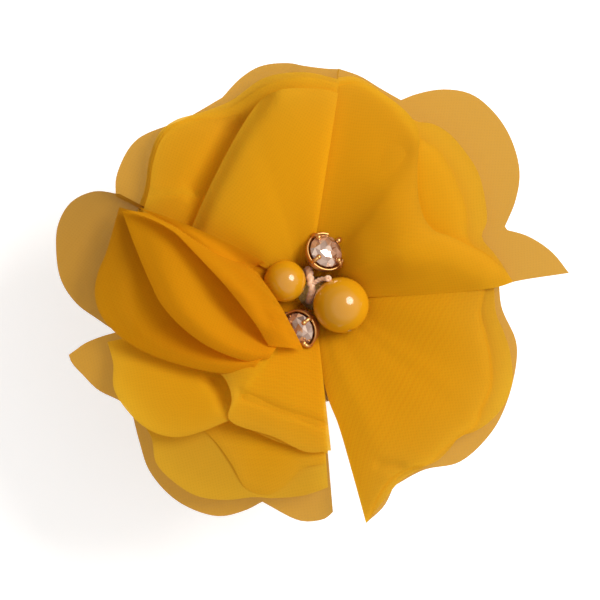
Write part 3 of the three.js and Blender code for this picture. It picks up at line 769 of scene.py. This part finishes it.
def petal_left():
    """Stands up in folds, one behind the other. Two of its layers roll over at the lip."""
    crest = [(-4.6, 2.6, 2.2), (-5, 3, 5.8), (-6.2, 3.7, 9.2), (-9.1, 5.2, 10.4), (-13.5, 7.1, 9.9),
             (-17.7, 8.6, 7)]
    under_pearl = [(-4.6, 2.6, 2.2), (-5.2, 2, 2.2), (-5.5, 1.1, 2.2)]
    first = [(-17.7, 8.6, 7), (-14.2, 6.5, 9.1), (-11, 4.2, 9.8), (-8.8, 2.4, 9.7), (-7.3, 1.1, 9.3),
             (-6.3, 0.8, 8.7)]
    beside_beads = [(-5.7, 2, 7.4), (-5, 1, 7.8), (-4.2, -0.1, 8), (-3.3, -1.5, 8), (-2.5, -3, 7.8),
                    (-1.8, -4.3, 7.3), (-1.2, -5.6, 6.6)]
    second = [(-19, 8.3, 6.6), (-16, 7.2, 9), (-14, 6, 10.2), (-12, 4, 10.7), (-9, 0.8, 10.8),
              (-7.3, -1.3, 10.2), (-5.8, -3.3, 9.4), (-4.6, -5.3, 8.3)]
    under_first = [(-5.7, 2, 7.4), (-8.5, 4, 8.2), (-11.5, 5.7, 8.6), (-14, 6.9, 8.5), (-16.5, 7.9, 7.8),
                   (-19, 8.3, 6.6)]
    under_second = [(-1.6, 0.7, 2.2), (-5, 2.8, 4.8), (-9, 5, 6.4), (-13, 6.8, 7.2), (-16, 7.8, 7),
                    (-19.3, 8.2, 5.9)]
    third = [(-19.3, 8.2, 5.9), (-17.9, 4.5, 8.7), (-16.4, 1, 9.9), (-15.4, -1, 10.1), (-13.6, -3.1, 10.2),
             (-11.2, -5, 10), (-9, -6.1, 9.7), (-6.6, -6.8, 9.2), (-4.6, -6.6, 8.4)]
    under_third = [(-1.6, 0.6, 1.8), (-8, 3.8, 4.4), (-14, 7, 5.6), (-19.6, 8.6, 5)]
    fourth = [(-19.6, 8.6, 5), (-20.2, 6.4, 5.6), (-20.9, 4, 6.4), (-21.7, 2, 7), (-22, 0, 7.3),
              (-21.5, -2, 7.3), (-19.9, -4, 7.3), (-17, -5.9, 7.5), (-13, -7.3, 7.9), (-9.1, -8, 8.6),
              (-6.2, -7.6, 8.7)]
    back = [(-19.5, 9.9, 5.2), (-22.1, 10.2, 4.4), (-24.5, 9.1, 3.6), (-25.8, 6.9, 3.1), (-26, 4.3, 3.1),
            (-25.5, 1.3, 3.1), (-23.9, -1.1, 3.5), (-21.7, -2.7, 4), (-19.7, -4, 4.6), (-15, -6.5, 5.2)]
    furrow = [(-12.6, 6.2), (-9, 3.2), (-6.6, 0.9), (-5.7, -0.4), (-4.6, -2.4)]
    shade = [(-20, 7.6), (-21.9, 4.5), (-22.8, 1), (-22.4, -1.4)]
    # The whole petal is deepened as painted shade, and its back layers carry painted shade under the folds
    # in front.
    return petal("petal_left", chiffon("chiffon_left", 0.12, 0.8, 0.75), [
        layer(first, ruffle=0.0, side_a=crest, root_path=under_pearl),
        layer(second, lift=0.2, creases=[(furrow, -0.8, 0.9, 0.8)], side_a=under_first,
              root_path=beside_beads, sheltered=0.25),
        layer(third, (156, 228), 2.2, profile=LIP, side_a=under_second, sheltered=0.25),
        layer(fourth, (158, 234), 1.8, profile=LIP, side_a=under_third, sheltered=0.9),
        layer(back, (160, 204), 1.4, 0.0, ruffle=0.1, creases=[(shade, -0.8, 1.3, 1.3)], sheltered=0.8),
    ], pale=0.0)


# ---------- the beads ----------

BORES = {"large_pearl": (0.35, -1, 0.15), "small_pearl": (1, -0.4, 0.1)}
BORE_RADIUS = 0.42
STONE_LEANS = {"upper_rhinestone": (0.45, 0.42, 1), "lower_rhinestone": (-0.65, -0.3, 1)}
STONE_RADIUS = 1.7
STONE_SHIFT = Vector((-0.1, -0.3, 0))
BALL_SIDES = 14


def pearl(node):
    """A round bead with a neat bore, which points the way that it was strung."""
    low, high = box_mm(node)
    radius = (high.x - low.x) / 2
    centre = (low + high) / 2 - FLOWER
    steps = 48
    profile = []
    first = math.asin(BORE_RADIUS / radius)
    for i in range(steps + 1):
        angle = first + (math.pi - 2 * first) * i / steps
        profile.append((radius * math.sin(angle), -radius * math.cos(angle)))
    inner = [(BORE_RADIUS * 0.92, 0.96 * radius), (BORE_RADIUS * 0.9, -0.96 * radius)]
    vertices, faces = turned_mesh(profile + inner + [profile[0]], 64, centre, BORES[node])
    made = piece(node, vertices, faces, PEARL)
    return stands_for(made, node)


def stone_seat(prefix):
    """The middle of the stone's girdle, a little to the side of its CAD place."""
    return centre_mm(prefix + "_crystal") - FLOWER + STONE_SHIFT


def crystal(prefix):
    """A round brilliant: a flat table, rings of facets down to the girdle, and a pointed pavilion."""
    x, y, z = frame_towards(STONE_LEANS[prefix])
    centre = stone_seat(prefix)
    # Each ring is (share of the radius, height, how many points, turn in steps).
    rings = [(0.2, 0.84, 8, 0.5), (0.56, 0.71, 8, 0.5), (0.80, 0.48, 8, 0.0), (1.0, 0.12, 16, 0.0),
             (1.0, -0.02, 16, 0.0), (0.55, -0.50, 8, 0.5), (0.02, -0.98, 8, 0.0)]
    vertices = []
    for radius, height, count, turn in rings:
        for k in range(count):
            angle = 2 * math.pi * (k + turn) / count
            spoke = math.cos(angle) * x + math.sin(angle) * y
            vertices.append(centre + STONE_RADIUS * radius * spoke + height * z)
    mesh = bmesh.new()
    for v in vertices:
        mesh.verts.new(v)
    hull = bmesh.ops.convex_hull(mesh, input=mesh.verts)
    loose = [v for v in hull["geom_interior"] if isinstance(v, bmesh.types.BMVert)]
    bmesh.ops.delete(mesh, geom=loose, context="VERTS")
    bmesh.ops.dissolve_limit(mesh, angle_limit=0.02, verts=mesh.verts, edges=mesh.edges)
    mesh.verts.index_update()
    points = [v.co.copy() for v in mesh.verts]
    faces = [tuple(v.index for v in face.verts) for face in mesh.faces]
    mesh.free()
    node = prefix + "_crystal"
    made = piece(node, points, faces, CRYSTAL, smooth=False)
    return stands_for(made, node)


def setting(prefix):
    """A pressed cup with a rolled rim, and four claws with ball ends folded over the stone."""
    axis = STONE_LEANS[prefix]
    x, y, z = frame_towards(axis)
    node = prefix + "_setting"
    seat = stone_seat(prefix) - 0.02 * z
    wall = [(0.28, -1.5), (1.3, -1.5), (1.75, -1.1), (2.02, -0.3), (2.06, 0.02), (2.0, 0.1),
            (1.86, 0.02), (1.5, -0.75), (0.95, -1.1), (0.28, -1.2), (0.28, -1.5)]
    parts = [turned_mesh(wall, 48, seat, axis)]
    for k in range(4):
        angle = math.pi / 2 * k + math.pi / 4
        out = math.cos(angle) * x + math.sin(angle) * y
        path = [seat + r * out + h * z for r, h in
                [(1.80, -0.45), (2.0, 0.0), (2.02, 0.35), (1.84, 0.66), (1.52, 0.78)]]
        parts.append(tube_mesh(smooth_path(path, 16), 0.2, 10))
        parts.append(ball(path[-1], 0.28))
    vertices, faces = merge(parts)
    made = piece(node, vertices, faces, GILT)
    return stands_for(made, node)


def ball(centre, radius):
    steps = BALL_SIDES // 2
    profile = [(radius * math.sin(math.pi * i / steps) + 1e-4, -radius * math.cos(math.pi * i / steps))
               for i in range(steps + 1)]
    return turned_mesh(profile, BALL_SIDES, centre, (0, 0, 1))


# ---------- the threads ----------

THREAD_RADIUS = 0.4
STRAND_RADIUS = 0.24
STITCH_RADIUS = 0.2
THREAD_PATH = [(-0.5, 1.5, 1.3), (-0.9, 1.9, 3), (-0.6, 2.3, 4.7), (-0.45, 1.3, 5.6), (-0.3, 0.3, 5.5),
               (-0.5, -0.5, 4.2), (-0.6, -0.8, 1.3)]
BRANCH_PATH = [(-0.3, 0.9, 5.7), (0.5, 1.35, 6.2), (1.3, 1.45, 6.9)]


def bead_thread():
    """A two-ply loop that rises through the petals and goes down again."""
    vertices, faces = tube_mesh(smooth_path(THREAD_PATH, 90), THREAD_RADIUS, 14, 5.0)
    return stands_for(piece("bead_thread", vertices, faces, THREAD), "bead_thread")


def bead_thread_end():
    """A finer strand that branches off and ends in a small knot."""
    strand = tube_mesh(smooth_path(BRANCH_PATH, 30), STRAND_RADIUS, 12, 7.0)
    end = Vector(BRANCH_PATH[-1])
    turns = [end + 0.2 * Vector((math.cos(a), math.sin(a) * 0.8, 0.5 * math.sin(1.7 * a)))
             for a in [2 * math.pi * k / 10 for k in range(24)]]
    knot = tube_mesh(smooth_path(turns, 70), 0.17, 10)
    vertices, faces = merge([strand, knot])
    return stands_for(piece("bead_thread_end", vertices, faces, THREAD), "bead_thread_end")


def gathering_thread():
    """A running stitch: the ring dips and rises as it passes through the sewn corners."""
    low, high = box_mm("gathering_thread")
    height = (low.z + high.z) / 2 - FLOWER.z
    radius = (high.x - low.x) / 2 - STITCH_RADIUS
    steps = 120
    path = []
    for k in range(steps + 1):
        angle = 2 * math.pi * k / steps
        dip = 0.1 * math.sin(15 * angle)
        path.append((radius * math.cos(angle), radius * math.sin(angle), height + dip))
    vertices, faces = tube_mesh(path, STITCH_RADIUS, 10, 5.0)
    return stands_for(piece("gathering_thread", vertices, faces, THREAD), "gathering_thread")


# ---------- the backing ----------

def felt_backing():
    """A cut felt disc with a soft, slightly uneven edge."""
    low, high = box_mm("felt_backing")
    radius = (high.x - low.x) / 2
    thick = high.z - low.z
    profile = [(0.05, 0), (radius * 0.5, 0), (radius - 0.6, 0), (radius - 0.15, 0.12 * thick),
               (radius, 0.35 * thick), (radius, 0.65 * thick), (radius - 0.15, 0.88 * thick),
               (radius - 0.6, thick), (radius * 0.5, thick), (0.05, thick)]
    sides = 220
    vertices, faces = turned_mesh(profile, sides, (0, 0, 0), (0, 0, 1))
    faces.append(tuple(reversed(range(sides))))
    faces.append(tuple(range(len(vertices) - sides, len(vertices))))
    rough = []
    for v in vertices:
        shove = 0.1 * noise.noise(v * 1.1) + 0.05 * noise.noise(v * 4.3)
        rough.append(v + Vector((v.x, v.y, 0)).normalized() * min(shove, 0.0) * 2)
    return stands_for(piece("felt_backing", rough, faces, FELT), "felt_backing")


def glue_pad():
    """A squeezed oval bead of glue with a rounded, wavy edge."""
    low, high = box_mm("glue_pad")
    middle = (low + high) / 2
    half = (high - low) / 2
    sides = 96
    rows = [(0.9, -1), (0.985, -0.7), (1.0, 0), (0.99, 0.7), (0.95, 1)]
    vertices = []
    for share, up in rows:
        for k in range(sides):
            angle = 2 * math.pi * k / sides
            wave = 1 - 0.03 * (1 + math.sin(3 * angle + 1)) - 0.015 * (1 + math.sin(7 * angle))
            vertices.append(Vector((half.x * share * wave * math.cos(angle),
                                    half.y * share * wave * math.sin(angle), half.z * up)))
    faces = grid_faces(len(rows), sides, closed=True)
    faces.append(tuple(reversed(range(sides))))
    faces.append(tuple(range(len(vertices) - sides, len(vertices))))
    made = piece("glue_pad", vertices, faces, GLUE, origin=middle)
    return stands_for(made, "glue_pad")


def ribbon_lining():
    """Grosgrain ribbon along the top of the upper arm, round its tip and back under it."""
    arm_low, arm_high = box_mm("upper_arm")
    low, high = box_mm("ribbon_lining")
    bend_x = 10.5
    tail_x = high.x
    inside_x = arm_low.x - 0.1
    under_x = 3.0
    thick = 0.3
    gap = 0.03
    arm_top = 5.15
    arm_bottom = 4.55
    top = arm_top + gap
    bottom = arm_bottom - gap
    near_tip_x = -8
    side = [(under_x, bottom), (near_tip_x, bottom), (inside_x, bottom), (inside_x, bottom),
            (inside_x, top), (inside_x, top), (near_tip_x, top), (bend_x, top), (bend_x, top),
            (tail_x, arm_high.z + gap)]
    count = 900
    path = smooth_path([(x, 0, z) for x, z in side], count)
    half = (high.y - low.y) / 2
    columns = 30
    step = np.linalg.norm(np.diff(path, axis=0), axis=1)
    travelled = np.concatenate([[0], np.cumsum(step)])
    outer = []
    inner = []
    uvs = []
    for i, p in enumerate(path):
        ahead = path[min(i + 6, count - 1)] - path[max(i - 6, 0)]
        out = Vector((-ahead[2], 0, ahead[0])).normalized()
        rib = 0.05 * math.sin(2 * math.pi * travelled[i] / RIB_PITCH)
        for k in range(columns + 1):
            y = half * (2 * k / columns - 1)
            edge = 1 - 0.25 * (abs(y) > half * 0.97)
            base = Vector((p[0], y, p[2]))
            outer.append(base + out * (thick * 0.8 * edge + rib))
            inner.append(base)
            uvs.append((travelled[i], y))
    flat = columns + 1
    faces = grid_faces(count, flat)
    faces += [tuple(reversed(f)) for f in grid_faces(count, flat, first=count * flat)]
    for i in range(count - 1):
        for k in (0, columns):
            a = i * flat + k
            quad = (a, a + flat, a + flat + count * flat, a + count * flat)
            faces.append(quad if k == 0 else tuple(reversed(quad)))
    for i in (0, count - 1):
        for k in range(columns):
            a = i * flat + k
            quad = (a + 1, a, a + count * flat, a + 1 + count * flat)
            faces.append(quad if i == 0 else tuple(reversed(quad)))
    made = piece("ribbon_lining", outer + inner, faces, RIBBON, origin=FRAME_ORIGIN, uvs=uvs + uvs)
    return stands_for(made, "ribbon_lining")


# ---------- the clip ----------

BROKEN_EDGE = 0.12


def round_edges(node, material):
    """A CAD part keeps its mesh, with its sharp edges broken and a real metal finish."""
    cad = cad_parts[node]
    cad.data.materials.clear()
    cad.data.materials.append(material)
    bevel = cad.modifiers.new("broken_edges", "BEVEL")
    bevel.width = BROKEN_EDGE * MM
    bevel.segments = 2
    bevel.limit_method = "ANGLE"
    bevel.angle_limit = math.radians(40)
    bevel.harden_normals = True


def hinge_pin():
    """A rivet: round shank and low domed heads."""
    low, high = box_mm("hinge_pin")
    middle = (low + high) / 2
    half = (high.y - low.y) / 2
    head = (high.x - low.x) / 2
    shank = 0.7
    start = half - 0.45
    end = [(shank, start), (head - 0.06, start), (head, start + 0.08), (head, start + 0.18),
           (head * 0.9, half - 0.12), (head * 0.6, half - 0.02), (0.02, half)]
    profile = [(r, -y) for r, y in reversed(end)] + end
    vertices, faces = turned_mesh(profile, 64, (0, 0, 0), (0, 1, 0))
    made = piece("hinge_pin", vertices, faces, STEEL, origin=middle)
    return stands_for(made, "hinge_pin")


def torsion_spring():
    """Round wire: one leg under the upper tab, turns round the pin, and a leg on the lower tab."""
    low, high = box_mm("torsion_spring")
    wire = 0.35
    coil = 1.4
    turns = 3.5
    half = (high.y - low.y) / 2 - wire
    pivot = centre_mm("hinge_pin")
    upper_leg = [(14, 4.94 - wire), (12, 4.66 - wire), (10, 4.45 - wire)]
    lower_leg = [(10, 0.56), (12, -0.33), (14, -1.22)]
    path = [Vector((x, -half, z)) for x, z in upper_leg]
    steps = 96
    for i in range(steps + 1):
        angle = math.pi / 2 + turns * 2 * math.pi * i / steps
        y = -half + 2 * half * i / steps
        path.append(Vector((pivot.x + coil * math.cos(angle), y, pivot.z + coil * math.sin(angle))))
    path += [Vector((x, half, z)) for x, z in lower_leg]
    vertices, faces = tube_mesh(smooth_path(path, 420), wire, 16)
    made = piece("torsion_spring", vertices, faces, SPRING, origin=FRAME_ORIGIN, body=None)
    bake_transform(made)
    return stands_for(made, "torsion_spring")


# ---------- the studio ----------

OPEN_JAW_ROOM = 11
FLOOR_GLOW = 0.36


def floor():
    """A plain pale floor, far enough below the clip for its jaw to open."""
    nodes = Nodes("studio_floor")
    haze = nodes.add("ShaderNodeTexNoise", Scale=12.0, Detail=2.0)
    colour = nodes.mix_colour(haze.outputs[0], (0.93, 0.93, 0.93, 1), (0.95, 0.95, 0.95, 1))
    plain = nodes.add("ShaderNodeBsdfDiffuse", Color=colour)
    glow = nodes.add("ShaderNodeEmission", Strength=FLOOR_GLOW)
    lit = nodes.add("ShaderNodeAddShader")
    nodes.put(lit.inputs[0], plain)
    nodes.put(lit.inputs[1], glow)
    half = 900
    low = cad_box[0].z / MM - OPEN_JAW_ROOM
    corners = [(-half, -half, low), (half, -half, low), (half, half, low), (-half, half, low)]
    made = piece("studio_floor", corners, [(0, 1, 2, 3)], nodes.done(lit), origin=FRAME_ORIGIN, body=None)


def lamp(name, place, size, power, colour):
    """A round area lamp that points at the origin."""
    data = bpy.data.lights.new(name, "AREA")
    data.shape = "DISK"
    data.size = size
    data.energy = power
    data.color = colour
    made = bpy.data.objects.new(name, data)
    made.location = place
    made.rotation_euler = (-Vector(place)).to_track_quat("-Z", "Y").to_euler()
    bpy.context.scene.collection.objects.link(made)


def studio():
    """A room with a wide bright ceiling that leans to the right, and one soft lamp high on the right."""
    world = bpy.data.worlds.new("studio")
    world.use_nodes = True
    tree = world.node_tree
    place = tree.nodes.new("ShaderNodeTexCoord")
    towards = tree.nodes.new("ShaderNodeVectorMath")
    towards.operation = "DOT_PRODUCT"
    tree.links.new(place.outputs["Generated"], towards.inputs[0])
    towards.inputs[1].default_value = Vector((0.36, -0.1, 1)).normalized()
    reach = tree.nodes.new("ShaderNodeMapRange")
    reach.interpolation_type = "SMOOTHSTEP"
    tree.links.new(towards.outputs["Value"], reach.inputs["Value"])
    for key, value in {"From Min": 0.3, "From Max": 0.7, "To Min": 0.23, "To Max": 0.88}.items():
        reach.inputs[key].default_value = value
    background = tree.nodes["Background"]
    background.inputs[0].default_value = (1, 0.99, 0.975, 1)
    tree.links.new(reach.outputs[0], background.inputs[1])
    bpy.context.scene.world = world
    lamp("key", (0.334, 0.168, 0.44), 0.30, 2.8, (1, 0.985, 0.96))


def camera():
    """Straight over the flower, far enough off to flatten it."""
    data = bpy.data.cameras.new("photo_camera")
    distance = 0.7
    width = 0.060
    middle = Vector((-0.0015, -0.0007, 0.012))
    data.sensor_width = 36
    data.lens = data.sensor_width * distance / width
    data.clip_start = 0.01
    made = bpy.data.objects.new("photo_camera", data)
    made.location = middle + Vector((0, 0, distance))
    bpy.context.scene.collection.objects.link(made)
    bpy.context.scene.camera = made


PEARL = pearl_material()
GILT = metal("rose_gilt", (0.78, 0.43, 0.15, 1), 0.36)
STEEL = metal("nickel_steel", (0.56, 0.55, 0.54, 1), 0.26)
SPRING = metal("spring_wire", (0.55, 0.56, 0.58, 1), 0.25)
CRYSTAL = crystal_material()
FELT = felt_material()
RIBBON = ribbon_material()
GLUE = glue_material()
THREAD = thread_material()

petal_top()
petal_upper_right()
petal_lower_right()
petal_lower_left()
petal_left()
for bead in BORES:
    pearl(bead)
for stone in STONE_LEANS:
    crystal(stone)
    setting(stone)
bead_thread()
bead_thread_end()
gathering_thread()
felt_backing()
glue_pad()
ribbon_lining()
round_edges("upper_arm", STEEL)
round_edges("lower_arm", STEEL)
hinge_pin()
torsion_spring()
floor()
studio()
camera()
bpy.context.scene.view_settings.view_transform = "Standard"
